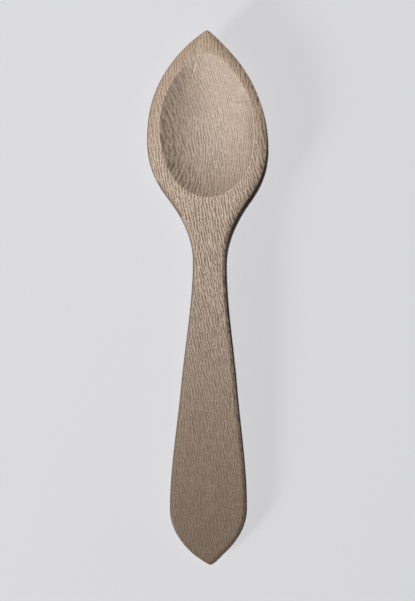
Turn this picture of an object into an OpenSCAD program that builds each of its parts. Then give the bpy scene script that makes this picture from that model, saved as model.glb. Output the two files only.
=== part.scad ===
// Carved beech spoon, one piece of wood. Millimetres, lying on its back with
// the hollow up: X across, Y along with the bowl's point at +Y, Z up from the
// table. Places along the spoon are measured back from the bowl's point.

/* [Places along the spoon] */
// Length from the bowl's point to the handle's point
spoon_l = 250; // [235:1:280]
// Place of the bowl's greatest width
bowl_at = 53; // [48:1:58]
// Place where the shoulders are steepest
shoulder_at = 77.8; // [72:0.2:84]
// Place of the neck's least width
neck_at = 107.6; // [100:0.2:118]
// Distance from the handle's point to its greatest width
grip_back = 26.4; // [22:0.2:36]

/* [Outline] */
// Greatest width of the bowl
bowl_w = 55.8; // [50:0.2:62]
// Width where the shoulders are steepest
shoulder_w = 38.5; // [36:0.1:43]
// Least width of the neck
neck_w = 14.9; // [12:0.1:19]
// Width of the handle halfway from the neck to its greatest width
mid_w = 25.6; // [23:0.1:30]
// Greatest width of the handle
grip_w = 35.8; // [31:0.2:42]
// Angle between the middle line and each side of the bowl's point
bowl_point_a = 52; // [46:1:57]
// Angle between the middle line and each side of the handle's point
handle_point_a = 55; // [48:1:60]
// Angle between the middle line and the outline at the shoulders
shoulder_a = 37; // [30:1:41]
// Radius that both points are rounded to
point_r = 1; // [0.6:0.1:2]

/* [Heights] */
// Height of the rim above the table
rim_h = 12.8; // [11.4:0.1:15]
// Thickness of the neck
neck_t = 8.2; // [7:0.1:10]
// Height of the neck's underside above the table
neck_lift = 3.8; // [2.4:0.1:5]
// Thickness of the handle at its greatest width
grip_t = 6.6; // [5.6:0.1:8]
// Thickness of the handle near its point
end_t = 5.6; // [4.8:0.1:7]
// Depth planed off flat where the spoon stands
foot_cut = 0.3; // [0.2:0.05:0.6]

/* [Rounded edges] */
// Width of the rounding on the rim of the bowl
rim_round_w = 8; // [6:0.5:10]
// Height of the rounding on the rim of the bowl
rim_round_h = 2.8; // [2:0.1:3.4]
// Width of the rounding on the top of the neck
neck_round_w = 1.8; // [1.2:0.1:4]
// Height of the rounding on the top of the neck
neck_round_h = 1.8; // [1.2:0.1:2.8]
// Width of the rounding on the top of the handle at its greatest width
grip_round_w = 2; // [1.2:0.1:4]
// Height of the rounding on the top of the handle at its greatest width
grip_round_h = 1.6; // [1:0.1:2.6]
// Width of the rounding under the handle
under_round_w = 4.5; // [3:0.1:6]
// Shape of the bowl's underside, from 1 for an ellipse to 2 for a parabola
bowl_under = 1.6; // [1:0.1:2]

/* [Hollow] */
// Width of the rim beside the hollow
rim_w = 6.1; // [5:0.1:9]
// Length of wood between the bowl's point and the hollow
rim_front = 10.2; // [7:0.2:13]
// Place where the hollow is deepest and widest
deep_at = 42; // [38:1:48]
// Thickness of wood under the deepest place
floor_t = 3.8; // [2.6:0.1:5]
// Slope of the hollow at its front end
front_a = 18; // [12:1:24]
// Slope of the hollow at its neck end
back_a = 38; // [32:1:50]
// Angle that the hollow is turned out of line with the spoon
hollow_turn = 1.8; // [-4:0.1:4]

/* [Hand finish] */
// Sideways place of the bowl's point
bowl_point_x = -0.4; // [-2:0.1:2]
// Sideways place of the front of the bowl
bowl_front_x = -1.1; // [-2:0.1:2]
// Sideways place of the neck
neck_x = 0.4; // [-2:0.1:2]
// Sideways place of the back of the handle
handle_back_x = 0; // [-2:0.1:2]
// Sideways place of the handle's point
handle_point_x = 1; // [-2:0.1:2]

/* [Hidden] */
beech = "#B9A690";

// Cross-sections from each point to the greatest width behind it, and in each
// stretch between two stations of the outline
point_rings = 16;
stretch_rings = 9;
// Steps in each rounded edge, above and below the widest line
top_steps = 7;
under_steps = 9;
// Share of the half width that a rounded edge may take up at most
round_share = 0.96;
// Steps in the hollow's long profile, and how far it runs on past the rim
hollow_steps = 40;
run_out = 3;

// How far in from the two points the wood has taken its sideways place
front_in = 8;
back_in = 6;

grip_at = spoon_l - grip_back;
mid_at = (neck_at + grip_at) / 2;

// How far each rounded point lies inside the corner that its two sides aim at
bowl_nose = point_r / tan(bowl_point_a) ^ 2;
handle_nose = point_r / tan(handle_point_a) ^ 2;

// Cubic over a length l from a to b, with slopes a_slope and b_slope at its ends
function cubic(a, b, a_slope, b_slope, l, t) =
    (2 * t ^ 3 - 3 * t ^ 2 + 1) * a
    + (t ^ 3 - 2 * t ^ 2 + t) * l * a_slope
    + (3 * t ^ 2 - 2 * t ^ 3) * b
    + (t ^ 3 - t ^ 2) * l * b_slope;

// Value at place s of the smooth line through stations of [place, value, slope]
function along(stations, s) =
    let (i = max([for (k = [0 : len(stations) - 2]) if (k == 0 || stations[k].x <= s) k]))
    let (a = stations[i])
    let (b = stations[i + 1])
    cubic(a.y, b.y, a.z, b.z, b.x - a.x, (s - a.x) / (b.x - a.x));

// Half widths of the outline, its two points taken as sharp corners
widths = [
    [-bowl_nose, 0, tan(bowl_point_a)],
    [bowl_at, bowl_w / 2, 0],
    [shoulder_at, shoulder_w / 2, -tan(shoulder_a)],
    [neck_at, neck_w / 2, 0],
    [mid_at, mid_w / 2, (grip_w - neck_w) / 2 / (grip_at - neck_at)],
    [grip_at, grip_w / 2, 0],
    [spoon_l + handle_nose, 0, -tan(handle_point_a)],
];

// Share of the sharp outline's half width left where a point is rounded off
function nose_share(nose, from_point) = sqrt(max(0, 1 - (nose / (from_point + nose)) ^ 2));

function half_w(s) =
    along(widths, s)
    * nose_share(bowl_nose, s)
    * nose_share(handle_nose, spoon_l - s);

// Sideways place of the middle line
sways = [
    [0, bowl_point_x, 0],
    [front_in, bowl_front_x, 0],
    [neck_at, neck_x, 0],
    [spoon_l - back_in, handle_back_x, 0],
    [spoon_l, handle_point_x, 0],
];

// Top line of the spoon, with the hollow not yet cut
neck_top = neck_lift + neck_t;
handle_fall = (grip_t - neck_top) / (grip_at - neck_at);
tops = [
    [0, rim_h, 0],
    [shoulder_at, rim_h, 0],
    [neck_at, neck_top, handle_fall],
    [grip_at, grip_t, handle_fall],
    [spoon_l, end_t, (end_t - grip_t) / grip_back],
];

// Lowest line of the spoon, before it is planed flat where it stands
keels = [
    [0, -foot_cut, 0],
    [bowl_at, -foot_cut, 0],
    [neck_at, neck_lift, 0],
    [grip_at, -foot_cut, 0],
    [spoon_l, -foot_cut, 0],
];

// 0 on the bowl, 1 on the handle, for what changes from the one to the other
handle_parts = [
    [0, 0, 0],
    [bowl_at, 0, 0],
    [neck_at, 1, 0],
    [spoon_l, 1, 0],
];

function mix(on_bowl, on_handle, s) = on_bowl + (on_handle - on_bowl) * along(handle_parts, s);

// Width and height of the rounding on top: broad on the rim, tight behind it
round_widths = [
    [0, rim_round_w, 0],
    [bowl_at, rim_round_w, 0],
    [neck_at, neck_round_w, 0],
    [grip_at, grip_round_w, 0],
    [spoon_l, grip_round_w, 0],
];
round_heights = [
    [0, rim_round_h, 0],
    [bowl_at, rim_round_h, 0],
    [neck_at, neck_round_h, 0],
    [grip_at, grip_round_h, 0],
    [spoon_l, grip_round_h, 0],
];

// The smaller of two sizes, with a soft change from one to the other
function soft_min(a, b) = a * b / (a ^ 8 + b ^ 8) ^ (1 / 8);

// Share of its full height that a rounding reaches at a distance from the edge
function rise(distance, round_w) = sqrt(1 - (1 - min(1, distance / round_w)) ^ 2);

// Places of the cross-sections: close together at the two points, even between
function from_point(l) = [for (i = [1 : point_rings]) l * (1 - cos(90 * i / point_rings))];
function even(a, b) = [for (i = [1 : stretch_rings]) a + (b - a) * i / stretch_rings];
from_handle_point = from_point(grip_back);
places = concat(
    from_point(bowl_at),
    even(bowl_at, shoulder_at),
    even(shoulder_at, neck_at),
    even(neck_at, mid_at),
    even(mid_at, grip_at),
    [for (i = [point_rings - 2 : -1 : 0]) spoon_l - from_handle_point[i]]
);

// The outline's slope, from two places a little way apart
slope_step = 0.01;
function slope(s) = (half_w(s + slope_step) - half_w(s - slope_step)) / (2 * slope_step);

// Shift that centres the outline on the middle of its own width
rights = [for (s = places) along(sways, s) + half_w(s)];
lefts = [for (s = places) along(sways, s) - half_w(s)];
centre_x = (max(rights) + min(lefts)) / 2;

function mid_x(s) = along(sways, s) - centre_x;
function widest_z(s) = along(tops, s) - along(round_heights, s);
function at_y(s) = spoon_l / 2 - s;

// One cross-section, anticlockwise from its right edge as seen from the handle
function ring(s) =
    let (w = half_w(s))
    let (reach = w / sqrt(1 + slope(s) ^ 2))
    let (top_w = along(round_widths, s))
    let (under_w = mix(bowl_w / 2, under_round_w, s))
    let (z = widest_z(s))
    let (top_h = (along(tops, s) - z) * rise(reach, top_w))
    let (under_h = (z - along(keels, s)) * rise(reach, under_w))
    let (top_in = w * soft_min(top_w / reach, round_share))
    let (under_in = w * soft_min(under_w / reach, round_share))
    let (power = mix(bowl_under, 1, s))
    let (top = [for (i = [1 : top_steps]) let (a = 90 * i / top_steps)
        [w - top_in * (1 - cos(a)), z + top_h * sin(a)]])
    let (under = [for (i = [1 : under_steps]) let (a = 90 * i / under_steps)
        [w - under_in * (1 - cos(a)), z - under_h * sin(a) ^ power]])
    let (section = concat(
        [[w, z]],
        top,
        [for (i = [top_steps - 1 : -1 : 0]) [-top[i].x, top[i].y]],
        [[-w, z]],
        [for (p = under) [-p.x, p.y]],
        [for (i = [under_steps - 1 : -1 : 0]) under[i]]
    ))
    [for (p = section) [mid_x(s) + p.x, at_y(s), p.y]];

// The spoon before its hollow is cut, closed by a single point at each end
module blank() {
    rings = [for (s = places) ring(s)];
    count = len(rings[0]);
    last = len(rings) - 1;
    bowl_point = [mid_x(0), at_y(0), widest_z(0)];
    handle_point = [mid_x(spoon_l), at_y(spoon_l), widest_z(spoon_l)];
    points = concat([bowl_point], [for (r = rings) each r], [handle_point]);
    faces = concat(
        [for (j = [0 : count - 1]) [0, 1 + j, 1 + (j + 1) % count]],
        [for (i = [0 : last - 1], j = [0 : count - 1])
            let (a = 1 + i * count + j)
            let (b = 1 + i * count + (j + 1) % count)
            each [[a, b + count, b], [a, a + count, b + count]]],
        [for (j = [0 : count - 1])
            [len(points) - 1, 1 + last * count + (j + 1) % count, 1 + last * count + j]]
    );
    polyhedron(points, faces);
}

// The hollow turns about a line along the spoon, above the rim
hollow_d = rim_h - floor_t;
hollow_half_w = bowl_w / 2 - rim_w;
axis_up = (hollow_half_w ^ 2 - hollow_d ^ 2) / (2 * hollow_d);
depths = [
    [rim_front, 0, tan(front_a)],
    [deep_at, hollow_d, 0],
    [shoulder_at, 0, -tan(back_a)],
];

module hollow() {
    step = (shoulder_at - rim_front) / hollow_steps;
    floor_line = [for (i = [0 : hollow_steps])
        let (s = rim_front + i * step)
        [axis_up + along(depths, s), deep_at - s]];
    front_end = [axis_up - run_out * tan(front_a), deep_at - rim_front + run_out];
    back_end = [axis_up - run_out * tan(back_a), deep_at - shoulder_at - run_out];
    profile = concat(
        [[0, front_end.y], front_end],
        floor_line,
        [back_end, [0, back_end.y]]
    );
    translate([mid_x(bowl_at), at_y(deep_at), rim_h + axis_up])
        rotate([0, 0, hollow_turn])
        rotate([-90, 0, 0])
        rotate_extrude($fn = 180)
        polygon(profile);
}

// Everything above the table
module above_table() {
    room = 10;
    translate([-bowl_w / 2 - room, -spoon_l / 2 - room, 0])
        cube([bowl_w + 2 * room, spoon_l + 2 * room, rim_h + room]);
}

module spoon() {
    color(beech)
        difference() {
            intersection() {
                blank();
                above_table();
            }
            hollow();
        }
}

spoon();
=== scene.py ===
"""Looks of a carved beech spoon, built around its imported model.

The spoon is one piece of wood, so one mesh is made here. A geometry-nodes tree lofts
the blank along a spine, scoops out the hollow, planes the two flats that the spoon
rests on, and gives the sanded surface its relief. Sizes are in millimetres in the
dataclasses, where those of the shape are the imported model's own, and become metres
where they enter Blender. +Y points to the bowl's point and +Z up out of the hollow;
places along the spoon are measured back from the bowl's point.
"""

import logging
import math
from dataclasses import dataclass, field
from enum import Enum
from typing import Any

import bpy
import numpy as np
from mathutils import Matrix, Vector


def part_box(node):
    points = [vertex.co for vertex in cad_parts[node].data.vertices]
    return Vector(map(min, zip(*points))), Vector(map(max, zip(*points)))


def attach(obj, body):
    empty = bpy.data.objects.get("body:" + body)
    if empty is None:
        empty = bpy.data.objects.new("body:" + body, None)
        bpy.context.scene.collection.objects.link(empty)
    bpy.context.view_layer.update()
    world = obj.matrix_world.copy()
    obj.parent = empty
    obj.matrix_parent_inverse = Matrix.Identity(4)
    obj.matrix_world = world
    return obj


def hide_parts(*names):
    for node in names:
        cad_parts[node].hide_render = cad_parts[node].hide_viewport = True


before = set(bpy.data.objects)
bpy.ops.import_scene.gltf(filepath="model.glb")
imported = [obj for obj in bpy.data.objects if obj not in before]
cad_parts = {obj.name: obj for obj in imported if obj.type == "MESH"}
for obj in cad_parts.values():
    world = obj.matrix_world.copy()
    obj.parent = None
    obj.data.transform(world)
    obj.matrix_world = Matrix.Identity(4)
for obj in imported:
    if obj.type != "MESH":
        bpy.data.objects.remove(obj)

MM = 0.001
LOG = logging.getLogger("beech_spoon")
NODE = "spoon"
BODY = "root"

# What nodes are added to, and what runs from one to the next
Tree = bpy.types.NodeTree
Wire = bpy.types.NodeSocket

# The node types that are added most often
MATH = "ShaderNodeMath"
VECTOR_MATH = "ShaderNodeVectorMath"
MAP_RANGE = "ShaderNodeMapRange"
MIX = "ShaderNodeMix"
NOISE = "ShaderNodeTexNoise"
SPLIT = "ShaderNodeSeparateXYZ"
JOIN = "ShaderNodeCombineXYZ"
SET_POSITION = "GeometryNodeSetPosition"
STORE = "GeometryNodeStoreNamedAttribute"


class Socket(Enum):
    """The kinds of named input that a geometry-nodes tree is given here."""

    NUMBER = "NodeSocketFloat"
    COUNT = "NodeSocketInt"
    MATERIAL = "NodeSocketMaterial"
    GEOMETRY = "NodeSocketGeometry"


def linear(hex_colour: str) -> tuple[float, float, float, float]:
    """Turns an sRGB hex colour into the linear colour that a shader takes.

    Args:
        hex_colour: Six hex digits, with or without a leading #.

    Returns:
        Red, green, blue and an alpha of 1.
    """
    digits = hex_colour.lstrip("#")
    parts = [int(digits[i : i + 2], 16) / 255 for i in (0, 2, 4)]
    red, green, blue = (c / 12.92 if c <= 0.04045 else ((c + 0.055) / 1.055) ** 2.4 for c in parts)
    return red, green, blue, 1.0


def add_node(
    tree: Tree,
    kind: str,
    inputs: dict[Any, Any] | tuple[Any, ...] = (),
    output: int | str = 0,
    **settings: Any,
) -> Wire:
    """Adds a node with its settings, values and links.

    Args:
        tree: The shader or geometry tree that takes the node.
        kind: The node's Blender type.
        inputs: Values or output sockets, in the order of the node's inputs or keyed
            by input name or number.
        output: The output to return, by number or name.
        **settings: Properties of the node, such as operation.

    Returns:
        The chosen output socket; its node attribute gives the node.
    """
    node = tree.nodes.new(kind)
    for name, value in settings.items():
        setattr(node, name, value)
    pairs = inputs.items() if isinstance(inputs, dict) else enumerate(inputs)
    for key, value in pairs:
        if isinstance(value, Wire):
            tree.links.new(value, node.inputs[key])
        else:
            node.inputs[key].default_value = value
    return node.outputs[output]


def space_evenly(ramp: bpy.types.ColorRamp, stops: list[tuple[float, ...]]) -> None:
    """Fills a ramp with evenly spaced stops.

    Args:
        ramp: A new ramp, which has a stop at each end.
        stops: The colours, or values as greys, from one end to the other.
    """
    ramp.elements[0].color = stops[0]
    ramp.elements[1].color = stops[-1]
    for number, stop in enumerate(stops[1:-1], 1):
        ramp.elements.new(number / (len(stops) - 1)).color = stop


def per_cell(sizes: tuple[float, float, float]) -> tuple[float, ...]:
    """Gives how many of a pattern's cells, of these sizes, go into a millimetre."""
    return tuple(1 / size for size in sizes)


@dataclass(frozen=True)
class Station:
    """A place along the spoon where a smooth line has a known value and slope."""

    place: float
    value: float
    slope: float = 0.0


class SmoothLine:
    """A line through stations, a cubic from each one to the next."""

    def __init__(self, *stations: Station) -> None:
        """Keeps the stations, which are in order of place."""
        self.places = np.array([s.place for s in stations])
        self.values = np.array([s.value for s in stations])
        self.slopes = np.array([s.slope for s in stations])

    def at(self, places: np.ndarray) -> np.ndarray:
        """Gives the line's values.

        Args:
            places: Places along the spoon, in millimetres.

        Returns:
            The line's value at each place.
        """
        i = np.searchsorted(self.places, places, side="right") - 1
        i = np.clip(i, 0, len(self.places) - 2)
        span = self.places[i + 1] - self.places[i]
        t = (places - self.places[i]) / span
        return (
            (2 * t**3 - 3 * t**2 + 1) * self.values[i]
            + (t**3 - 2 * t**2 + t) * span * self.slopes[i]
            + (3 * t**2 - 2 * t**3) * self.values[i + 1]
            + (t**3 - t**2) * span * self.slopes[i + 1]
        )


def tangent(degrees: float) -> float:
    """Gives the tangent of an angle in degrees."""
    return math.tan(math.radians(degrees))


def soft_min(a: np.ndarray, b: float) -> np.ndarray:
    """Gives the smaller of two sizes, with a soft change from one to the other."""
    sharpness = 8
    return a * b / (a**sharpness + b**sharpness) ** (1 / sharpness)


def rise(distance: np.ndarray, round_w: np.ndarray) -> np.ndarray:
    """Gives the share of its height that a rounding reaches at a distance inwards."""
    return np.sqrt(1 - (1 - np.minimum(1, distance / round_w)) ** 2)


@dataclass
class Outline:
    """The spoon seen from above: half widths, and how far the middle line leans."""

    length: float
    bowl_w: float
    bowl_at: float = 53.0
    shoulder_at: float = 77.8
    neck_at: float = 107.6
    grip_back: float = 26.4
    shoulder_w: float = 38.5
    neck_w: float = 14.9
    mid_w: float = 25.6
    grip_w: float = 35.8
    bowl_point_a: float = 52.0
    handle_point_a: float = 55.0
    shoulder_a: float = 37.0
    point_r: float = 1.0
    bowl_point_x: float = -0.4
    bowl_front_x: float = -1.1
    neck_x: float = 0.4
    handle_back_x: float = 0.0
    handle_point_x: float = 1.0
    front_in: float = 8.0
    back_in: float = 6.0
    samples: int = 2001

    def __post_init__(self) -> None:
        """Works out the stations of both lines from the sizes."""
        self.grip_at = self.length - self.grip_back
        mid_at = (self.neck_at + self.grip_at) / 2
        self.bowl_nose = self.point_r / tangent(self.bowl_point_a) ** 2
        self.handle_nose = self.point_r / tangent(self.handle_point_a) ** 2
        flare = (self.grip_w - self.neck_w) / 2 / (self.grip_at - self.neck_at)
        self.sharp = SmoothLine(
            Station(-self.bowl_nose, 0, tangent(self.bowl_point_a)),
            Station(self.bowl_at, self.bowl_w / 2),
            Station(self.shoulder_at, self.shoulder_w / 2, -tangent(self.shoulder_a)),
            Station(self.neck_at, self.neck_w / 2),
            Station(mid_at, self.mid_w / 2, flare),
            Station(self.grip_at, self.grip_w / 2),
            Station(self.length + self.handle_nose, 0, -tangent(self.handle_point_a)),
        )
        self.sway = SmoothLine(
            Station(0, self.bowl_point_x),
            Station(self.front_in, self.bowl_front_x),
            Station(self.neck_at, self.neck_x),
            Station(self.length - self.back_in, self.handle_back_x),
            Station(self.length, self.handle_point_x),
        )
        fine = np.linspace(0, self.length, self.samples)
        right = self.sway.at(fine) + self.half_width(fine)
        left = self.sway.at(fine) - self.half_width(fine)
        self.centre_x = (right.max() + left.min()) / 2

    def half_width(self, places: np.ndarray) -> np.ndarray:
        """Gives half the width, with both points rounded off.

        Args:
            places: Places along the spoon, in millimetres.

        Returns:
            Half the width at each place.
        """
        shares = [
            np.sqrt(np.maximum(0, 1 - (nose / (inward + nose)) ** 2))
            for nose, inward in (
                (self.bowl_nose, places),
                (self.handle_nose, self.length - places),
            )
        ]
        return self.sharp.at(places) * shares[0] * shares[1]

    def middle(self, places: np.ndarray) -> np.ndarray:
        """Gives the middle line's sideways place, from the middle of the width."""
        return self.sway.at(places) - self.centre_x


@dataclass
class Heights:
    """The spoon seen from the side, and how its edges are rounded."""

    rim_h: float
    outline: Outline
    neck_t: float = 8.2
    neck_lift: float = 3.8
    grip_t: float = 6.6
    end_t: float = 5.6
    foot_cut: float = 0.3
    rim_round_w: float = 8.0
    rim_round_h: float = 2.8
    neck_round_w: float = 1.8
    neck_round_h: float = 1.8
    grip_round_w: float = 2.0
    grip_round_h: float = 1.6
    under_round_w: float = 4.5
    bowl_under: float = 1.6
    round_share: float = 0.96

    def __post_init__(self) -> None:
        """Works out the stations of the top, the keel and the change of section."""
        o = self.outline
        neck_top = self.neck_lift + self.neck_t
        fall = (self.grip_t - neck_top) / (o.grip_at - o.neck_at)
        self.top = SmoothLine(
            Station(0, self.rim_h),
            Station(o.shoulder_at, self.rim_h),
            Station(o.neck_at, neck_top, fall),
            Station(o.grip_at, self.grip_t, fall),
            Station(o.length, self.end_t, (self.end_t - self.grip_t) / o.grip_back),
        )
        self.keel = SmoothLine(
            Station(0, -self.foot_cut),
            Station(o.bowl_at, -self.foot_cut),
            Station(o.neck_at, self.neck_lift),
            Station(o.grip_at, -self.foot_cut),
            Station(o.length, -self.foot_cut),
        )
        self.handle_part = SmoothLine(
            Station(0, 0),
            Station(o.bowl_at, 0),
            Station(o.neck_at, 1),
            Station(o.length, 1),
        )
        self.round_w = self.rounding(self.rim_round_w, self.neck_round_w, self.grip_round_w)
        self.round_h = self.rounding(self.rim_round_h, self.neck_round_h, self.grip_round_h)

    def rounding(self, on_rim: float, on_neck: float, on_grip: float) -> SmoothLine:
        """Gives the line of one size of the top edge's rounding.

        Args:
            on_rim: The size on the bowl's rim.
            on_neck: The size on the neck.
            on_grip: The size on the handle.

        Returns:
            The line along the whole spoon.
        """
        o = self.outline
        return SmoothLine(
            Station(0, on_rim),
            Station(o.bowl_at, on_rim),
            Station(o.neck_at, on_neck),
            Station(o.grip_at, on_grip),
            Station(o.length, on_grip),
        )

    def mix(self, on_bowl: float, on_handle: float, places: np.ndarray) -> np.ndarray:
        """Changes smoothly from the bowl's value to the handle's over the shoulders."""
        return on_bowl + (on_handle - on_bowl) * self.handle_part.at(places)


@dataclass
class Hollow:
    """The scooped hollow: a surface turned about a line along the spoon.

    The mesh lines that follow its edge stay between two shares of the half width.
    """

    outline: Outline
    rim_h: float
    rim_w: float = 6.1
    rim_front: float = 10.2
    deep_at: float = 42.0
    floor_t: float = 3.8
    front_a: float = 18.0
    back_a: float = 38.0
    turn: float = 1.8
    rim_soft: float = 0.35
    front_soft: float = 1.4
    least_share: float = 0.45
    most_share: float = 0.86

    @property
    def depth(self) -> float:
        """How far the deepest place lies below the rim."""
        return self.rim_h - self.floor_t

    @property
    def axis_up(self) -> float:
        """How far above the rim the line lies that the hollow turns about."""
        half_w = self.outline.bowl_w / 2 - self.rim_w
        return (half_w**2 - self.depth**2) / (2 * self.depth)

    def arris(self, places: np.ndarray, half_w: np.ndarray) -> tuple[np.ndarray, np.ndarray]:
        """Finds where the hollow's edge crosses each cross-section.

        Args:
            places: Places along the spoon.
            half_w: The spoon's half width at each place.

        Returns:
            How far right of the middle line the right arris lies at each place, and
            the left one. Past the hollow's ends the two lines run on beside the
            middle, because mesh lines follow them.
        """
        o = self.outline
        depths = SmoothLine(
            Station(self.rim_front, 0, tangent(self.front_a)),
            Station(self.deep_at, self.depth),
            Station(o.shoulder_at, 0, -tangent(self.back_a)),
        )
        turn = math.radians(self.turn)
        # A place on the arris and its distance sideways each depend on the other
        rounds = 3
        sides = []
        for side in (1, -1):
            across = side * (o.bowl_w / 2 - self.rim_w) * np.ones_like(places)
            for _ in range(rounds):
                along = (self.deep_at - places - across * math.sin(turn)) / math.cos(turn)
                local = np.clip(self.deep_at - along, self.rim_front, o.shoulder_at)
                radius = self.axis_up + np.maximum(0, depths.at(local))
                reach = np.sqrt(np.maximum(0, radius**2 - self.axis_up**2))
                across = side * reach * math.cos(turn) - along * math.sin(turn)
            centre = o.middle(np.array([o.bowl_at]))[0] - o.middle(places)
            sides.append(side * np.abs(across + centre))
        sharpness = 12
        tiny = 1e-30
        least = self.least_share * half_w
        right, left = (
            (np.abs(edge) ** sharpness + least**sharpness + tiny) ** (1 / sharpness)
            for edge in sides
        )
        most = self.most_share * half_w
        return np.minimum(right, most), -np.minimum(left, most)


@dataclass(frozen=True)
class Grain:
    """How the strands and rays of the wood lie in the blank.

    Sizes are in millimetres and angles in degrees. The strands run along the spoon,
    leaning a little, and the rays between them run up towards the left edge, so the
    pattern stretches on the hollow's left wall and tightens on its right one. On the
    handle, from short_from back, the pattern is shorter by the share shorter.
    """

    ray_lean: float = 33.0
    grain_lean: float = 8.0
    sway: float = 0.9
    sway_length: float = 320.0
    sway_start: float = -60.0
    wander: float = 0.7
    wander_size: float = 20.0
    short_from: float = -15.0
    shorter: float = 0.45

    def place(self, tree: Tree, position: Wire) -> Wire:
        """Adds nodes that turn a position to the grain's own directions.

        Args:
            tree: A shader or geometry tree.
            position: The position in metres.

        Returns:
            The position in millimetres: across the strands, along them, and along
            the rays.
        """
        mm = add_node(tree, VECTOR_MATH, {0: position, "Scale": 1 / MM}, operation="SCALE")
        y = add_node(tree, SPLIT, (mm,), "Y")
        turn = 2 * math.pi / self.sway_length
        phase = add_node(tree, MATH, (y, turn, -self.sway_start * turn), operation="MULTIPLY_ADD")
        wave = add_node(tree, MATH, (phase,), operation="SINE")
        swing = add_node(tree, MATH, (wave, self.sway), operation="MULTIPLY")
        wobble = add_node(
            tree,
            NOISE,
            {"Vector": mm, "Scale": 1 / self.wander_size, "Detail": 1.0},
        )
        drift = add_node(tree, MATH, (wobble, 2 * self.wander, swing), operation="MULTIPLY_ADD")
        shift = add_node(tree, JOIN, (drift, 0.0, 0.0))
        swayed = add_node(tree, VECTOR_MATH, (mm, shift), operation="ADD")
        lean = (0.0, math.radians(self.ray_lean), math.radians(-self.grain_lean))
        turned = add_node(
            tree,
            "ShaderNodeVectorRotate",
            {"Vector": swayed, "Rotation": lean},
            rotation_type="EULER_XYZ",
        )
        along = add_node(tree, SPLIT, (turned,), "Y")
        past = add_node(tree, MATH, (along, self.short_from), operation="SUBTRACT")
        on_handle = add_node(tree, MATH, (past, 0.0), operation="MINIMUM")
        more = add_node(tree, MATH, (on_handle, self.shorter), operation="MULTIPLY")
        added = add_node(tree, JOIN, (0.0, more, 0.0))
        return add_node(tree, VECTOR_MATH, (turned, added), operation="ADD")


@dataclass(frozen=True)
class Mark:
    """A small mark of use or tool, drawn as a stroke. Millimetres, seen from above."""

    start: tuple[float, float]
    end: tuple[float, float]
    width: float
    depth: float = 0.0
    lighter: float = 0.0

    def nearness(self, tree: Tree, position: Wire) -> Wire:
        """Adds how near a position lies to the mark.

        Args:
            tree: A shader or geometry tree.
            position: The position in metres.

        Returns:
            1 on the mark's line, falling to 0 at half its width.
        """
        start = Vector((*self.start, 0.0)) * MM
        line = Vector((*self.end, 0.0)) * MM - start
        flat = add_node(tree, VECTOR_MATH, (position, (1.0, 1.0, 0.0)), operation="MULTIPLY")
        gone = add_node(tree, VECTOR_MATH, (flat, tuple(start)), operation="SUBTRACT")
        part = add_node(
            tree,
            VECTOR_MATH,
            (gone, tuple(line / line.length_squared)),
            "Value",
            operation="DOT_PRODUCT",
        )
        held = add_node(tree, "ShaderNodeClamp", (part, 0.0, 1.0))
        nearest = add_node(tree, VECTOR_MATH, {0: tuple(line), "Scale": held}, operation="SCALE")
        away = add_node(tree, VECTOR_MATH, (gone, nearest), "Value", operation="DISTANCE")
        half = self.width / 2 * MM
        return add_node(
            tree,
            MAP_RANGE,
            {"Value": away, "From Max": half, "To Min": 1.0, "To Max": 0.0},
            interpolation_type="SMOOTHSTEP",
        )


@dataclass(frozen=True)
class Wear:
    """The marks that a tool and years of use have left, by where they show, and a stroke of painted
    shade below the left shoulder.
    """

    carved: tuple[Mark, ...] = (
        Mark((-5.6, 109.2), (-6.2, 106.4), width=1.6, depth=0.22, lighter=0.26),
        Mark((-6.2, 106.4), (-6.8, 103.9), width=1.1, depth=0.12, lighter=0.16),
        Mark((9.3, 92.7), (14.8, 91.6), width=1.5, depth=0.14, lighter=-0.14),
        Mark((14.8, 91.6), (20.3, 91.9), width=1.5, depth=0.14, lighter=-0.14),
        Mark((11.8, 90.2), (15.8, 90.0), width=1.4, lighter=0.08),
        Mark((4.3, 86.4), (10.8, 85.6), width=1.4, depth=0.05, lighter=-0.04),
    )
    scuffed: tuple[Mark, ...] = (
        Mark((-1.6, -88.3), (0.8, -88.2), width=1.0, lighter=0.34),
        Mark((0.7, -88.4), (1.9, -87.4), width=1.0, lighter=0.42),
        Mark((-10.6, -92.2), (-10.1, -91.6), width=1.1, lighter=0.42),
        Mark((-8.4, -90.4), (-8.0, -89.8), width=1.0, lighter=0.28),
        Mark((-12.3, -91.2), (-12.0, -90.4), width=0.9, lighter=0.22),
    )
    # Painted shade: a dark stroke along the left flank below the shoulder, where the flank lies in
    # shade
    shoulder_shade: tuple[Mark, ...] = (Mark((-22.5, 53.4), (-12.1, 38.6), width=3.2, lighter=-0.5),)


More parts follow.
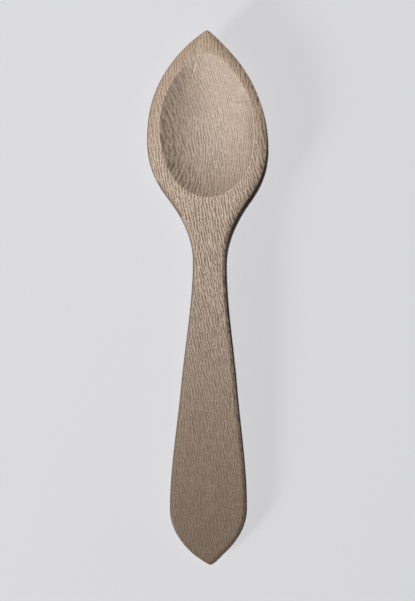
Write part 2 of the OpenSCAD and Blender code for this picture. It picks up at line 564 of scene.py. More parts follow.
@dataclass(frozen=True)
class Beech:
    """Bare beech, sanded and often washed: matt, with the grain a little raised.

    The eye sees pale strands with short dark gaps and pores between them, rays that
    lie as dark streaks where the surface runs along them, painted shade that darkens
    the hollow's left wall and other surfaces turned to the right, a hollow that is
    paler towards its front, a light line on its arris that is partly wear and partly
    a painted highlight, strongest on the right, and a handle that hands have darkened
    and rubbed smooth. The left flank carries painted shade: greyer along its length,
    and dark below the shoulder. Strands are far finer in real beech, about 0.3 mm, and
    are drawn three and a half times as coarse, which is what a picture of the whole
    spoon can show.
    Tones and strengths are evenly spaced along the spoon, from the handle's end to the
    bowl's point, and the hollow's from its back to its front. Sizes are in
    millimetres. Pairs are where a change begins and where it ends, and the pair of
    roughnesses is the handle's end's and the bowl's point's.
    """

    grain: Grain = field(default_factory=Grain)
    wear: Wear = field(default_factory=Wear)
    strand_pitch: float = 1.03
    strand_cell: tuple[float, float, float] = (1.7, 2.7, 9.0)
    strand_edge: tuple[float, float] = (-0.23, 0.14)
    pore_cell: tuple[float, float, float] = (0.40, 1.2, 0.95)
    pore_share: float = 0.62
    streak_cell: tuple[float, float, float] = (0.8, 7.0, 9.0)
    streak_share: float = 0.28
    ray_cell: tuple[float, float, float] = (0.85, 5.0, 9.0)
    ray_edge: tuple[float, float] = (0.56, 0.68)
    ray_shade: float = 0.3
    ray_shade_end_on: float = 0.045
    # Painted shade: how much darker and browner the wood is made where the rays lie along the
    # surface, which is where it turns to the right, most of all on the hollow's left wall
    right_facing_shade: tuple[float, float, float] = (-0.18, -0.19, -0.21)
    patch_size: float = 11.0
    patch_light: float = 0.07
    worn_edge: tuple[float, float] = (0.4, 0.6)
    worn_least: float = 0.4
    # The arris's light line: partly wear, in patches, and partly painted highlight, full on the
    # right arris, which faces the light, and a share of it on the left
    arris_wear_and_highlight: float = 0.42
    arris_highlight_from: tuple[float, float] = (2.0, 12.0)
    arris_highlight_left: float = 0.35
    spoon_ends: tuple[float, float] = (-125.0, 125.0)
    hollow_ends: tuple[float, float] = (47.0, 115.0)
    outside: tuple[str, ...] = ("#594633", "#705D4A", "#8A7867", "#9E8A77", "#9F8974")
    scooped: tuple[str, ...] = ("#998776", "#A89685", "#B4A292")
    # Painted shade on the left flank, which turns from the light: the dark grey the wood is mixed
    # toward there, and how far
    flank_shade_tone: str = "#5A514D"
    flank_shade_share: float = 0.85
    strengths: tuple[float, ...] = (0.52, 0.57, 0.66, 0.93, 0.92, 0.66, 0.52)
    hollow_strength: float = 0.71
    contrast: tuple[float, float, float] = (1.22, 1.32, 1.49)
    relief: float = 0.16
    roughness: tuple[float, float] = (0.5, 0.66)
    strand_polish: float = 0.06

    def material(self) -> bpy.types.Material:
        """Builds the material.

        Returns:
            A node material that reads Object coordinates and the attributes that the
            carving stores.
        """
        material = bpy.data.materials.new("beech_sanded")
        material.use_nodes = True
        tree = material.node_tree
        shader = tree.nodes["Principled BSDF"]
        position = add_node(tree, "ShaderNodeTexCoord", output="Object")
        hollow, arris, rays_and_shade, side = (
            add_node(tree, "ShaderNodeAttribute", attribute_name=name, output="Fac")
            for name in ("hollow", "arris", "rays_and_shade", "side")
        )
        y = add_node(tree, SPLIT, (position,), "Y")
        from_end, in_hollow = (
            add_node(tree, MAP_RANGE, {"Value": y, "From Min": back * MM, "From Max": front * MM})
            for back, front in (self.spoon_ends, self.hollow_ends)
        )
        placed = self.grain.place(tree, position)
        strands = self.strands(tree, placed)
        strength = self.strength(tree, from_end, hollow)
        wood = self.tone(tree, from_end, in_hollow, hollow, side)
        shade = self.shade(tree, position, placed, arris, rays_and_shade)
        tone = add_node(tree, VECTOR_MATH, (wood, shade), operation="MULTIPLY")
        lightness = add_node(tree, MATH, (strands, 0.5), operation="SUBTRACT")
        swing = add_node(tree, MATH, (lightness, strength), operation="MULTIPLY")
        factor = add_node(tree, VECTOR_MATH, {0: self.contrast, "Scale": swing}, operation="SCALE")
        colour = add_node(tree, VECTOR_MATH, (factor, tone, tone), operation="MULTIPLY_ADD")
        tree.links.new(colour, shader.inputs["Base Color"])
        height = add_node(tree, MATH, (strands, strength), operation="MULTIPLY")
        bump = add_node(
            tree,
            "ShaderNodeBump",
            {"Height": height, "Distance": self.relief * MM, "Strength": 1.0},
        )
        tree.links.new(bump, shader.inputs["Normal"])
        rubbed, bare = self.roughness
        dull = add_node(tree, MAP_RANGE, {"Value": from_end, "To Min": rubbed, "To Max": bare})
        rough = add_node(
            tree, MATH, (strands, -self.strand_polish, dull), operation="MULTIPLY_ADD"
        )
        tree.links.new(rough, shader.inputs["Roughness"])
        return material

    def strands(self, tree: Tree, placed: Wire) -> Wire:
        """Adds the strands and the pores between them.

        Args:
            tree: The material's tree.
            placed: The position in the grain's own directions, in millimetres.

        Returns:
            1 on a strand's crest, 0 in the dark gap beside it.
        """
        in_cells = add_node(
            tree, VECTOR_MATH, (placed, per_cell(self.strand_cell)), operation="MULTIPLY"
        )
        # Input 4 is the plane pattern's orientation, and 0 is across the strands
        mixed = add_node(
            tree,
            "ShaderNodeTexGabor",
            {
                "Vector": in_cells,
                "Scale": 1.0,
                "Frequency": self.strand_cell[0] / self.strand_pitch,
                "Anisotropy": 1.0,
                4: 0.0,
            },
        )
        for cell, share, dimensions in (
            (self.streak_cell, self.streak_share, "2D"),
            (self.pore_cell, self.pore_share, "3D"),
        ):
            in_cells = add_node(tree, VECTOR_MATH, (placed, per_cell(cell)), operation="MULTIPLY")
            speckle = add_node(
                tree,
                NOISE,
                {"Vector": in_cells, "Scale": 1.0, "Detail": 1.0},
                noise_dimensions=dimensions,
            )
            mixed = add_node(tree, MATH, (speckle, share, mixed), operation="MULTIPLY_ADD")
        middle = 0.5 + 0.5 * (self.streak_share + self.pore_share)
        gap, crest = self.strand_edge
        return add_node(
            tree,
            MAP_RANGE,
            {"Value": mixed, "From Min": middle + gap, "From Max": middle + crest},
            interpolation_type="SMOOTHSTEP",
        )

    def shade(
        self,
        tree: Tree,
        position: Wire,
        placed: Wire,
        arris: Wire,
        rays_and_shade: Wire,
    ) -> Wire:
        """Adds what darkens or lightens the wood in places.

        Args:
            tree: The material's tree.
            position: The position in metres.
            placed: The position in the grain's own directions, in millimetres.
            arris: 1 on the hollow's arris.
            rays_and_shade: 1 where the rays lie along the surface, which is also where painted
                shade darkens the wood turned to the right.

        Returns:
            The factor on the wood's tone: rays, painted shade where the surface turns to
            the right, the arris's light line (partly wear, partly painted highlight),
            patches, marks, and the stroke of painted shade below the left shoulder.
        """
        in_cells = add_node(
            tree, VECTOR_MATH, (placed, per_cell(self.ray_cell)), operation="MULTIPLY"
        )
        spread = add_node(
            tree,
            NOISE,
            {"Vector": in_cells, "Scale": 1.0, "Detail": 1.0},
            noise_dimensions="2D",
        )
        bare, full = self.ray_edge
        ray = add_node(
            tree,
            MAP_RANGE,
            {"Value": spread, "From Min": bare, "From Max": full},
            interpolation_type="SMOOTHSTEP",
        )
        darker = add_node(
            tree,
            MAP_RANGE,
            {"Value": rays_and_shade, "To Min": -self.ray_shade_end_on, "To Max": -self.ray_shade},
        )
        shade = add_node(tree, MATH, (ray, darker, 1.0), operation="MULTIPLY_ADD")
        patch = add_node(
            tree,
            NOISE,
            {"Vector": position, "Scale": 1 / (self.patch_size * MM), "Detail": 2.0},
        )
        whole, worn_off = self.worn_edge
        worn = add_node(
            tree,
            MAP_RANGE,
            {"Value": patch, "From Min": whole, "From Max": worn_off, "To Min": self.worn_least},
        )
        # Painted highlight: the arris's light line grows from left to right across the hollow,
        # toward the arris that faces the light
        x = add_node(tree, SPLIT, (position,), "X")
        near, far = self.arris_highlight_from
        highlight_side = add_node(
            tree,
            MAP_RANGE,
            {
                "Value": x,
                "From Min": near * MM,
                "From Max": far * MM,
                "To Min": self.arris_highlight_left,
            },
        )
        worn_arris = add_node(tree, MATH, (worn, arris), operation="MULTIPLY")
        edge = add_node(tree, MATH, (worn_arris, highlight_side), operation="MULTIPLY")
        lights = [(edge, self.arris_wear_and_highlight), (patch, self.patch_light)]
        # Marks of tool and use, and the stroke of painted shade below the left shoulder
        for mark in (*self.wear.carved, *self.wear.scuffed, *self.wear.shoulder_shade):
            lights.append((mark.nearness(tree, position), mark.lighter))
        for light, share in lights:
            shade = add_node(tree, MATH, (light, share, shade), operation="MULTIPLY_ADD")
        # Painted shade: darker and browner where the surface turns to the right, above all on the
        # hollow's left wall
        return add_node(
            tree, VECTOR_MATH, (rays_and_shade, self.right_facing_shade, shade), operation="MULTIPLY_ADD"
        )

    def strength(self, tree: Tree, from_end: Wire, hollow: Wire) -> Wire:
        """Adds how strongly the strands show: most at the neck, least at the ends.

        Args:
            tree: The material's tree.
            from_end: 0 at the handle's end, 1 at the bowl's point.
            hollow: 1 inside the hollow.

        Returns:
            The share of the strands' full contrast.
        """
        along = add_node(tree, "ShaderNodeValToRGB", (from_end,))
        space_evenly(along.node.color_ramp, [(s, s, s, 1.0) for s in self.strengths])
        eased = add_node(
            tree,
            MAP_RANGE,
            {"Value": hollow, "To Min": 1.0, "To Max": self.hollow_strength},
        )
        return add_node(tree, MATH, (along, eased), operation="MULTIPLY")

    def tone(self, tree: Tree, from_end: Wire, in_hollow: Wire, hollow: Wire, side: Wire) -> Wire:
        """Adds the wood's colour without its strands, with painted shade on the left flank.

        Args:
            tree: The material's tree.
            from_end: 0 at the handle's end, 1 at the bowl's point.
            in_hollow: 0 at the hollow's back, 1 at its front.
            hollow: 1 inside the hollow.
            side: 1 on the left flank, where painted shade greys the wood.

        Returns:
            The colour, with the left flank's painted shade.
        """
        outside = add_node(tree, "ShaderNodeValToRGB", (from_end,))
        space_evenly(outside.node.color_ramp, [linear(tone) for tone in self.outside])
        scooped = add_node(tree, "ShaderNodeValToRGB", (in_hollow,))
        space_evenly(scooped.node.color_ramp, [linear(tone) for tone in self.scooped])
        above = add_node(
            tree, MIX, {0: hollow, 6: outside, 7: scooped}, output=2, data_type="RGBA"
        )
        # Painted shade: the left flank is mixed toward a dark grey, as if it lay in shade
        flank_shade = add_node(tree, MATH, (side, self.flank_shade_share), operation="MULTIPLY")
        return add_node(
            tree,
            MIX,
            {0: flank_shade, 6: above, 7: linear(self.flank_shade_tone)},
            output=2,
            data_type="RGBA",
        )


@dataclass
class Spoon:
    """The whole spoon: bowl, neck and handle, one piece of beech."""

    outline: Outline
    heights: Heights
    hollow: Hollow
    rim_columns: int = 28
    hollow_columns: int = 100
    under_columns: int = 40
    bowl_step: float = 0.32
    handle_step: float = 1.0
    nose_l: float = 3.0
    front_rings: int = 12
    back_rings: int = 24
    ripple_relief: float = 0.10
    ripple_size: float = 14.0

    def places(self) -> np.ndarray:
        """Gives the places of the cross-sections, closest at the points and bowl.

        Returns:
            The places along the spoon, from the bowl's point back.
        """
        o = self.outline
        bowl_end = o.shoulder_at + self.nose_l
        back_nose = 2 * self.nose_l
        handle_end = o.length - back_nose
        handle_rings = round((handle_end - bowl_end) / self.handle_step)
        turn_in = np.linspace(0, math.pi / 2, self.front_rings)
        turn_out = np.linspace(0, math.pi / 2, self.back_rings)
        front = self.nose_l * (1 - np.cos(turn_in))
        bowl = np.arange(self.nose_l, bowl_end, self.bowl_step)[1:]
        handle = np.linspace(bowl_end, handle_end, handle_rings)
        back = o.length - back_nose * (1 - np.sin(turn_out))
        return np.concatenate([front, bowl, handle, back[1:]])

    def spine(self) -> bpy.types.Object:
        """Makes the line that the blank is lofted along.

        Returns:
            A mesh with one point for each cross-section, at its widest level, which
            carries the half width and the two roundings as attributes.
        """
        o, h = self.outline, self.heights
        s = self.places()
        step = 0.01
        least_reach = 1e-6
        w = o.half_width(s)
        inner = np.clip(s, step, o.length - step)
        slope = (o.half_width(inner + step) - o.half_width(inner - step)) / (2 * step)
        reach = np.maximum(w / np.sqrt(1 + slope**2), least_reach)
        top_w = h.round_w.at(s)
        under_w = h.mix(o.bowl_w / 2, h.under_round_w, s)
        widest = h.top.at(s) - h.round_h.at(s)
        upper = np.stack(
            [
                w * soft_min(top_w / reach, h.round_share),
                (h.top.at(s) - widest) * rise(reach, top_w),
                np.ones_like(s),
            ],
            axis=1,
        )
        lower = np.stack(
            [
                w * soft_min(under_w / reach, h.round_share),
                -(widest - h.keel.at(s)) * rise(reach, under_w),
                h.mix(h.bowl_under, 1.0, s),
            ],
            axis=1,
        )
        lengths = np.array([MM, MM, 1.0])
        arris = self.hollow.arris(s, w)
        points = np.stack([o.middle(s), o.length / 2 - s, widest], axis=1) * MM
        mesh = bpy.data.meshes.new("spine")
        mesh.from_pydata([tuple(p) for p in points], [], [])
        for name, values, kind in (
            ("half_w", w * MM, "FLOAT"),
            ("arris_right", arris[0] * MM, "FLOAT"),
            ("arris_left", arris[1] * MM, "FLOAT"),
            ("upper", upper * lengths, "FLOAT_VECTOR"),
            ("lower", lower * lengths, "FLOAT_VECTOR"),
        ):
            data = mesh.attributes.new(name, kind, "POINT").data
            key = "value" if kind == "FLOAT" else "vector"
            data.foreach_set(key, np.asarray(values, np.float32).ravel())
        spine = bpy.data.objects.new("beech_spoon", mesh)
        bpy.context.scene.collection.objects.link(spine)
        return spine

    def build(self, beech: Beech) -> bpy.types.Object:
        """Makes the spoon's mesh and dresses it.

        Args:
            beech: The finish of the whole spoon.

        Returns:
            The spoon, a plain mesh at the origin.
        """
        h = self.hollow
        spoon = self.spine()
        sizes: dict[str, tuple[Socket, Any]] = {
            "Rim columns": (Socket.COUNT, self.rim_columns),
            "Hollow columns": (Socket.COUNT, self.hollow_columns),
            "Columns below": (Socket.COUNT, self.under_columns),
            "Rim height": (Socket.NUMBER, h.rim_h * MM),
            "Hollow depth": (Socket.NUMBER, h.depth * MM),
            "Axis above rim": (Socket.NUMBER, h.axis_up * MM),
            "Deepest place": (Socket.NUMBER, (self.outline.length / 2 - h.deep_at) * MM),
            "Hollow turn": (Socket.NUMBER, math.radians(h.turn)),
            "Front length": (Socket.NUMBER, (h.deep_at - h.rim_front) * MM),
            "Front slope": (Socket.NUMBER, tangent(h.front_a)),
            "Back length": (Socket.NUMBER, (self.outline.shoulder_at - h.deep_at) * MM),
            "Back slope": (Socket.NUMBER, tangent(h.back_a)),
            "Rim softness": (Socket.NUMBER, h.rim_soft * MM),
            "Front softness": (Socket.NUMBER, h.front_soft * MM),
            "Ripple relief": (Socket.NUMBER, self.ripple_relief * MM),
            "Ripple size": (Socket.NUMBER, self.ripple_size * MM),
            "Finish": (Socket.MATERIAL, beech.material()),
        }
        tree = CarvingTree(beech.grain, beech.wear).build(sizes)
        modifier = spoon.modifiers.new("carving", "NODES")
        modifier.node_group = tree
        for item in tree.interface.items_tree:
            if item.in_out == "INPUT" and item.name in sizes:
                modifier[item.identifier] = sizes[item.name][1]
        graph = bpy.context.evaluated_depsgraph_get()
        carved = bpy.data.meshes.new_from_object(spoon.evaluated_get(graph))
        spoon.modifiers.remove(modifier)
        spoon.data = carved
        carved.name = "beech_spoon"
        return spoon


@dataclass
class CarvingTree:
    """The geometry-nodes tree that makes the spoon from its spine.

    Its own sizes are in millimetres, like the spoon's; shares and directions have no
    unit.
    """

    grain: Grain
    wear: Wear
    hollow_evenness: float = 0.7
    seam_error: float = 2e-5
    merge_within: float = 0.001
    run_out: float = 1.3
    soft_from: float = 0.45
    hollow_edge: float = 0.35
    arris_reach: float = 0.45
    # Where the rays lie along the surface and where they meet it end on; the same mask carries
    # painted shade on surfaces turned to the right
    rays_along: float = 0.4
    rays_end_on: float = 0.84
    # Where the left flank's painted shade is full and where it ends, by how far the surface faces
    # left
    flank_full: float = -0.85
    flank_none: float = -0.55
    foot_clear: float = 0.05
    tree: Tree = field(init=False)
    sizes: dict[str, Wire] = field(init=False)

    def build(self, sizes: dict[str, tuple[Socket, Any]]) -> Tree:
        """Builds the tree.

        Args:
            sizes: The kind and value of each named input.

        Returns:
            The finished tree.
        """
        tree = self.tree = bpy.data.node_groups.new("carve_spoon", "GeometryNodeTree")
        face = tree.interface
        face.new_socket("Spine", in_out="INPUT", socket_type=Socket.GEOMETRY.value)
        for name, (kind, _) in sizes.items():
            face.new_socket(name, in_out="INPUT", socket_type=kind.value)
        face.new_socket("Spoon", in_out="OUTPUT", socket_type=Socket.GEOMETRY.value)
        group = add_node(tree, "NodeGroupInput").node
        self.sizes = {socket.name: socket for socket in group.outputs if socket.name}
        geometry = self.loft()
        for cut in (self.scoop, self.plane_feet, self.relief, self.mark_facing):
            geometry = cut(geometry)
        smooth = add_node(tree, "GeometryNodeSetShadeSmooth", {"Geometry": geometry})
        real = add_node(tree, "GeometryNodeRealizeInstances", {"Geometry": smooth})
        dressed = add_node(
            tree,
            "GeometryNodeSetMaterial",
            {"Geometry": real, "Material": self.sizes["Finish"]},
        )
        result = tree.nodes.new("NodeGroupOutput")
        tree.links.new(dressed, result.inputs["Spoon"])
        return tree

    def loft(self) -> Wire:
        """Adds the closed blank: a grid of points wrapped round the spine.

        Returns:
            The blank, before anything is cut into it.
        """
        tree, spine = self.tree, self.sizes["Spine"]
        rim, hollow, below = (
            self.sizes[name] for name in ("Rim columns", "Hollow columns", "Columns below")
        )
        rings = add_node(
            tree, "GeometryNodeAttributeDomainSize", (spine,), "Point Count", component="MESH"
        )
        on_top = add_node(tree, MATH, (rim, 2.0, hollow), operation="MULTIPLY_ADD")
        all_round = add_node(tree, MATH, (on_top, below), operation="ADD")
        columns = add_node(tree, MATH, (all_round, 1.0), operation="ADD")
        grid = add_node(tree, "GeometryNodeMeshGrid", {"Vertices X": rings, "Vertices Y": columns})
        # Which cross-section a point is on, and which column of it
        index = add_node(tree, "GeometryNodeInputIndex")
        mid_point = add_node(tree, MATH, (index, 0.5), operation="ADD")
        filled = add_node(tree, MATH, (mid_point, columns), operation="DIVIDE")
        ring = add_node(tree, MATH, (filled,), operation="FLOOR")
        before = add_node(tree, MATH, (ring, columns), operation="MULTIPLY")
        column = add_node(tree, MATH, (index, before), operation="SUBTRACT")
        top_end = add_node(tree, MATH, (on_top, 0.5), operation="ADD")
        over = add_node(tree, MATH, (column, top_end), operation="LESS_THAN")
        at_ring = {}
        for name, kind in (
            ("position", "FLOAT_VECTOR"),
            ("half_w", "FLOAT"),
            ("arris_right", "FLOAT"),
            ("arris_left", "FLOAT"),
            ("upper", "FLOAT_VECTOR"),
            ("lower", "FLOAT_VECTOR"),
        ):
            value = add_node(
                tree, "GeometryNodeInputNamedAttribute", {"Name": name}, data_type=kind
            )
            at_ring[name] = add_node(
                tree,
                "GeometryNodeSampleIndex",
                {"Geometry": spine, "Value": value, "Index": ring},
                data_type=kind,
                domain="POINT",
            )
        half_w, right, left = (at_ring[name] for name in ("half_w", "arris_right", "arris_left"))
        low = add_node(tree, MATH, (half_w, -1.0), operation="MULTIPLY")
        # Across: over the right rim, the hollow and the left rim, then back below
        first = 0.0
        x = half_w
        for count, start, end, evenness in (
            (rim, half_w, right, 0.0),
            (hollow, right, left, self.hollow_evenness),
            (rim, left, low, 0.0),
            (below, low, half_w, 0.0),
        ):
            passed = add_node(tree, MATH, (column, first), operation="SUBTRACT")
            part = add_node(tree, MATH, (passed, count), operation="DIVIDE", use_clamp=True)
            angle = add_node(tree, MATH, (part, math.pi), operation="MULTIPLY")
            cosine = add_node(tree, MATH, (angle,), operation="COSINE")
            eased = add_node(tree, MATH, (cosine, -0.5, 0.5), operation="MULTIPLY_ADD")
            share = add_node(tree, MIX, {0: evenness, 2: eased, 3: part})
            span = add_node(tree, MATH, (end, start), operation="SUBTRACT")
            x = add_node(tree, MATH, (share, span, x), operation="MULTIPLY_ADD")
            first = add_node(tree, MATH, (first, count), operation="ADD")
        # Up: the roundings of the edge. The sum above ends a hair off its start, and that
        # hair is taken off here, because the two sides of the seam have to meet.
        sideways = add_node(tree, MATH, (x,), operation="ABSOLUTE")
        inside = add_node(tree, MATH, (half_w, sideways), operation="SUBTRACT")
        trimmed = add_node(tree, MATH, (inside, self.seam_error * MM), operation="SUBTRACT")
        inward = add_node(tree, MATH, (trimmed, 0.0), operation="MAXIMUM")
        rounding = add_node(
            tree,
            MIX,
            {0: over, 4: at_ring["lower"], 5: at_ring["upper"]},
            output=1,
            data_type="VECTOR",
        )
        edge = add_node(tree, SPLIT, (rounding,)).node.outputs
        reached = add_node(tree, MATH, (inward, edge["X"]), operation="DIVIDE")
        part = add_node(tree, MATH, (reached, 1.0), operation="MINIMUM")
        rest = add_node(tree, MATH, (1.0, part), operation="SUBTRACT")
        rest_squared = add_node(tree, MATH, (rest, rest), operation="MULTIPLY")
        arc_squared = add_node(tree, MATH, (1.0, rest_squared), operation="SUBTRACT")
        arc = add_node(tree, MATH, (arc_squared,), operation="SQRT")
        bent = add_node(tree, MATH, (arc, edge["Z"]), operation="POWER")
        z = add_node(tree, MATH, (bent, edge["Y"]), operation="MULTIPLY")
        offset = add_node(tree, JOIN, (x, 0.0, z))
        place = add_node(tree, VECTOR_MATH, (at_ring["position"], offset), operation="ADD")
        wrapped = add_node(tree, SET_POSITION, {"Geometry": grid, "Position": place})
        closed = add_node(
            tree,
            "GeometryNodeMergeByDistance",
            {"Geometry": wrapped, "Distance": self.merge_within * MM},
        )
        return add_node(tree, "GeometryNodeFlipFaces", {"Mesh": closed})

    def scoop(self, geometry: Wire) -> Wire:
        """Adds the hollow, which lowers the top to a surface turned about a line.

        Args:
            geometry: The blank.

        Returns:
            The blank with its hollow, the arris between them a little rounded, and
            with two attributes: hollow, 1 inside it, and arris, 1 on its edge.
        """
        tree, size = self.tree, self.sizes
        position = add_node(tree, "GeometryNodeInputPosition")
        z = add_node(tree, SPLIT, (position,), "Z")
        deepest = add_node(tree, JOIN, (0.0, size["Deepest place"], 0.0))
        turned_back = add_node(tree, MATH, (size["Hollow turn"], -1.0), operation="MULTIPLY")
        local = add_node(
            tree,
            "ShaderNodeVectorRotate",
            {"Vector": position, "Center": deepest, "Angle": turned_back},
            rotation_type="Z_AXIS",
        )
        from_deepest = add_node(tree, VECTOR_MATH, (local, deepest), operation="SUBTRACT")
        away = add_node(tree, SPLIT, (from_deepest,)).node.outputs
        ahead = add_node(tree, MATH, (away["Y"], 0.0), operation="GREATER_THAN")
        length, slope = (
            add_node(tree, MIX, {0: ahead, 2: size[f"Back {name}"], 3: size[f"Front {name}"]})
            for name in ("length", "slope")
        )
        # The depth along the hollow: a cubic from the deepest place to each end
        distance = add_node(tree, MATH, (away["Y"],), operation="ABSOLUTE")
        share = add_node(tree, MATH, (distance, length), operation="DIVIDE")
        t = add_node(tree, MATH, (share, self.run_out), operation="MINIMUM")
        t2 = add_node(tree, MATH, (t, t), operation="MULTIPLY")
        t3 = add_node(tree, MATH, (t2, t), operation="MULTIPLY")
        rising = add_node(tree, MATH, (t3, 2.0, 1.0), operation="MULTIPLY_ADD")
        level = add_node(tree, MATH, (t2, -3.0, rising), operation="MULTIPLY_ADD")
        bend = add_node(tree, MATH, (t2, t3), operation="SUBTRACT")
        fall = add_node(tree, MATH, (length, slope), operation="MULTIPLY")
        sloped = add_node(tree, MATH, (bend, fall), operation="MULTIPLY")
        depth = add_node(
            tree, MATH, (level, size["Hollow depth"], sloped), operation="MULTIPLY_ADD"
        )
        # Across the hollow: an arc about the line above the rim
        radius = add_node(tree, MATH, (depth, size["Axis above rim"]), operation="ADD")
        radius_squared = add_node(tree, MATH, (radius, radius), operation="MULTIPLY")
        across_squared = add_node(tree, MATH, (away["X"], away["X"]), operation="MULTIPLY")
        squared = add_node(tree, MATH, (radius_squared, across_squared), operation="SUBTRACT")
        within = add_node(tree, MATH, (squared, 0.0), operation="MAXIMUM")
        drop = add_node(tree, MATH, (within,), operation="SQRT")
        axis_z = add_node(tree, MATH, (size["Rim height"], size["Axis above rim"]), operation="ADD")
        floor = add_node(tree, MATH, (axis_z, drop), operation="SUBTRACT")
        soft_from = add_node(
            tree, MATH, (size["Front length"], self.soft_from), operation="MULTIPLY"
        )
        softness = add_node(
            tree,
            MAP_RANGE,
            {
                "Value": away["Y"],
                "From Min": soft_from,
                "From Max": size["Front length"],
                "To Min": size["Rim softness"],
                "To Max": size["Front softness"],
            },
            interpolation_type="SMOOTHSTEP",
        )
        lowered = add_node(tree, MATH, (z, floor, softness), operation="SMOOTH_MIN")
        normal = add_node(tree, "GeometryNodeInputNormal")
        facing = add_node(tree, SPLIT, (normal,), "Z")
        upward = add_node(tree, MATH, (facing, 0.0), operation="GREATER_THAN")
        cut_off = add_node(tree, MATH, (z, floor), operation="SUBTRACT")
        from_arris = add_node(tree, MATH, (cut_off,), operation="ABSOLUTE")
        for name, value, reach, at_edge in (
            ("hollow", cut_off, self.hollow_edge, 0.0),
            ("arris", from_arris, self.arris_reach, 1.0),
        ):
            shown = add_node(
                tree,
                MAP_RANGE,
                {
                    "Value": value,
                    "From Max": reach * MM,
                    "To Min": at_edge,
                    "To Max": 1.0 - at_edge,
                },
                interpolation_type="SMOOTHSTEP",
            )
            on_top = add_node(tree, MATH, (shown, upward), operation="MULTIPLY")
            geometry = add_node(
                tree,
                STORE,
                {"Geometry": geometry, "Name": name, "Value": on_top},
                data_type="FLOAT",
                domain="POINT",
            )
        for mark in self.wear.carved:
            near = mark.nearness(tree, position)
            lowered = add_node(
                tree, MATH, (near, -mark.depth * MM, lowered), operation="MULTIPLY_ADD"
            )
        sunk = add_node(tree, MATH, (lowered, z), operation="SUBTRACT")
        offset = add_node(tree, JOIN, (0.0, 0.0, sunk))
        return add_node(
            tree, SET_POSITION, {"Geometry": geometry, "Selection": upward, "Offset": offset}
        )

    def plane_feet(self, geometry: Wire) -> Wire:
        """Adds the two flats that the spoon rests on.

        Args:
            geometry: The scooped spoon.

        Returns:
            The spoon with all that lay below the table's level brought up to it.
        """
        tree = self.tree
        position = add_node(tree, "GeometryNodeInputPosition")
        # Metres, far past the spoon, so that the other two directions stay as they are
        past = -1.0
        table = add_node(tree, VECTOR_MATH, (position, (past, past, 0.0)), operation="MAXIMUM")
        return add_node(tree, SET_POSITION, {"Geometry": geometry, "Position": table})

    def relief(self, geometry: Wire) -> Wire:
        """Adds the surface's relief, which only ever goes into the wood.

        Args:
            geometry: The carved spoon.

        Returns:
            The spoon with the long ripple of hand sanding.
        """
        tree, size = self.tree, self.sizes
        position = add_node(tree, "GeometryNodeInputPosition")
        scale = add_node(tree, MATH, (1.0, size["Ripple size"]), operation="DIVIDE")
        ripple = add_node(tree, NOISE, {"Vector": position, "Scale": scale, "Detail": 1.0})
        sunk = add_node(tree, MATH, (ripple, size["Ripple relief"]), operation="MULTIPLY")
        outward = add_node(tree, MATH, (sunk, -1.0), operation="MULTIPLY")
        normal = add_node(tree, "GeometryNodeInputNormal")
        offset = add_node(tree, VECTOR_MATH, {0: normal, "Scale": outward}, operation="SCALE")
        height = add_node(tree, SPLIT, (position,), "Z")
        off_table = add_node(tree, MATH, (height, self.foot_clear * MM), operation="GREATER_THAN")
        return add_node(
            tree, SET_POSITION, {"Geometry": geometry, "Selection": off_table, "Offset": offset}
        )

    def mark_facing(self, geometry: Wire) -> Wire:
        """Adds what the finish has to know of how the surface faces.

        Args:
            geometry: The spoon in its last shape.

        Returns:
            The spoon with two attributes: rays_and_shade, 1 where the rays lie along the
            surface, which also masks painted shade on surfaces turned to the right, and
            side, 1 on the left flank, which masks painted shade there.
        """
        tree = self.tree
        lean = math.radians(self.grain.ray_lean)
        ray = (-math.sin(lean), 0.0, math.cos(lean))
        normal = add_node(tree, "GeometryNodeInputNormal")
        faced = add_node(tree, VECTOR_MATH, (normal, ray), "Value", operation="DOT_PRODUCT")
        end_on = add_node(tree, MATH, (faced,), operation="ABSOLUTE")
        rightward = add_node(tree, SPLIT, (normal,), "X")
        for name, value, full, none in (
            ("rays_and_shade", end_on, self.rays_along, self.rays_end_on),
            ("side", rightward, self.flank_full, self.flank_none),
        ):
            shown = add_node(
                tree,
                MAP_RANGE,
                {"Value": value, "From Min": full, "From Max": none, "To Min": 1.0, "To Max": 0.0},
                interpolation_type="SMOOTHSTEP",
            )
            geometry = add_node(
                tree,
                STORE,
                {"Geometry": geometry, "Name": name, "Value": shown},
                data_type="FLOAT",
                domain="POINT",
            )
        return geometry


@dataclass(frozen=True)
class Lamp:
    """A round soft lamp that faces the spoon. Metres, watts and degrees."""

    name: str
    azimuth: float
    elevation: float
    size: float
    energy: float
    reach: float = 3.0


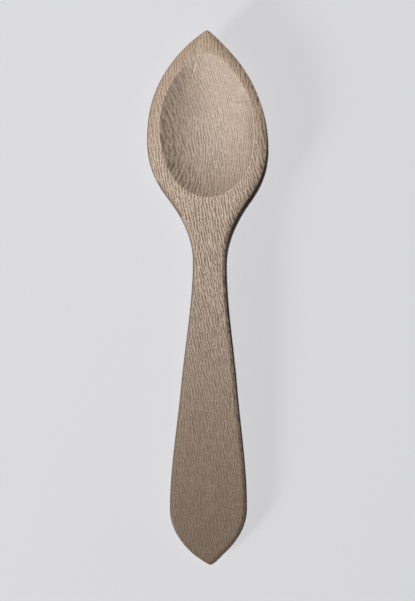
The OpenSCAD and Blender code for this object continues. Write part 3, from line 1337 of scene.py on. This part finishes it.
@dataclass
class Studio:
    """A plain pale floor, soft light from above and from the left, and the camera.

    The camera's place and sensor are in millimetres, its focal length and the frame's
    height in pixels, and how far it sees and half the floor's side in metres.
    """

    overhead: Lamp = Lamp("overhead", azimuth=132, elevation=80, size=0.12, energy=80)
    side: Lamp = Lamp("side", azimuth=214, elevation=17, size=0.6, energy=37)
    even_light: float = 0.002
    backdrop: float = 0.95
    floor_colour: str = "#D7D7DA"
    camera_up: float = 650.0
    camera_x: float = 0.3
    camera_y: float = -0.8
    frame_h: float = 601.0
    focal_px: float = 1374.7
    sensor: float = 36.0
    clip_end: float = 10.0
    floor_half: float = 2.0
    floor_roughness: float = 0.9

    def build(self) -> None:
        """Makes the camera, the lamps, the world and the floor."""
        bpy.context.scene.view_settings.view_transform = "Standard"
        self.camera()
        self.lamps()
        self.floor()

    def camera(self) -> None:
        """Adds the camera, looking straight down on the spoon."""
        data = bpy.data.cameras.new("overhead")
        data.sensor_width = self.sensor
        data.lens = self.sensor * self.focal_px / self.frame_h
        data.clip_end = self.clip_end
        camera = bpy.data.objects.new("overhead", data)
        camera.location = Vector((self.camera_x, self.camera_y, self.camera_up)) * MM
        bpy.context.scene.collection.objects.link(camera)
        bpy.context.scene.camera = camera

    def lamps(self) -> None:
        """Adds the lamps and the world's even light."""
        for lamp in (self.overhead, self.side):
            data = bpy.data.lights.new(lamp.name, "AREA")
            data.shape = "DISK"
            data.size = lamp.size
            data.energy = lamp.energy
            light = bpy.data.objects.new(lamp.name, data)
            azimuth, elevation = math.radians(lamp.azimuth), math.radians(lamp.elevation)
            light.location = (
                lamp.reach * math.cos(elevation) * math.cos(azimuth),
                lamp.reach * math.cos(elevation) * math.sin(azimuth),
                lamp.reach * math.sin(elevation),
            )
            light.rotation_euler = Vector(light.location).to_track_quat("Z", "Y").to_euler()
            bpy.context.scene.collection.objects.link(light)
        self.world()

    def world(self) -> None:
        """Adds the even light, which shows as a pale backdrop where it is seen."""
        world = bpy.data.worlds.new("studio")
        world.use_nodes = True
        tree = world.node_tree
        background = tree.nodes["Background"]
        rays = add_node(tree, "ShaderNodeLightPath", output="Is Camera Ray").node.outputs
        seen = rays["Is Camera Ray"]
        for name in ("Is Glossy Ray", "Is Transmission Ray"):
            seen = add_node(tree, MATH, (seen, rays[name]), operation="MAXIMUM")
        strength = add_node(tree, MIX, {0: seen, 2: self.even_light, 3: self.backdrop})
        tree.links.new(strength, background.inputs["Strength"])
        background.inputs["Color"].default_value = linear(self.floor_colour)
        bpy.context.scene.world = world

    def floor(self) -> None:
        """Adds the floor, matt board: no shine, only the spoon's own soft shadow."""
        half = self.floor_half
        mesh = bpy.data.meshes.new("floor")
        corners = [(-half, -half, 0), (half, -half, 0), (half, half, 0), (-half, half, 0)]
        mesh.from_pydata(corners, [], [(0, 1, 2, 3)])
        floor = bpy.data.objects.new("floor", mesh)
        material = bpy.data.materials.new("floor_matt")
        material.use_nodes = True
        shader = material.node_tree.nodes["Principled BSDF"]
        shader.inputs["Base Color"].default_value = linear(self.floor_colour)
        shader.inputs["Roughness"].default_value = self.floor_roughness
        mesh.materials.append(material)
        bpy.context.scene.collection.objects.link(floor)


def main() -> None:
    """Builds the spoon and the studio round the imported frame."""
    logging.basicConfig(level=logging.INFO, format="%(message)s")
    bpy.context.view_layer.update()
    low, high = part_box(NODE)
    size = (high - low) / MM
    outline = Outline(length=size.y, bowl_w=size.x)
    spoon = Spoon(
        outline=outline,
        heights=Heights(rim_h=size.z, outline=outline),
        hollow=Hollow(outline=outline, rim_h=size.z),
    )
    piece = spoon.build(Beech())
    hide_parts(NODE)
    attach(piece, BODY)
    points, faces = len(piece.data.vertices), len(piece.data.polygons)
    LOG.info("%s: %d points, %d faces", piece.name, points, faces)
    Studio().build()


if __name__ == "__main__":
    main()
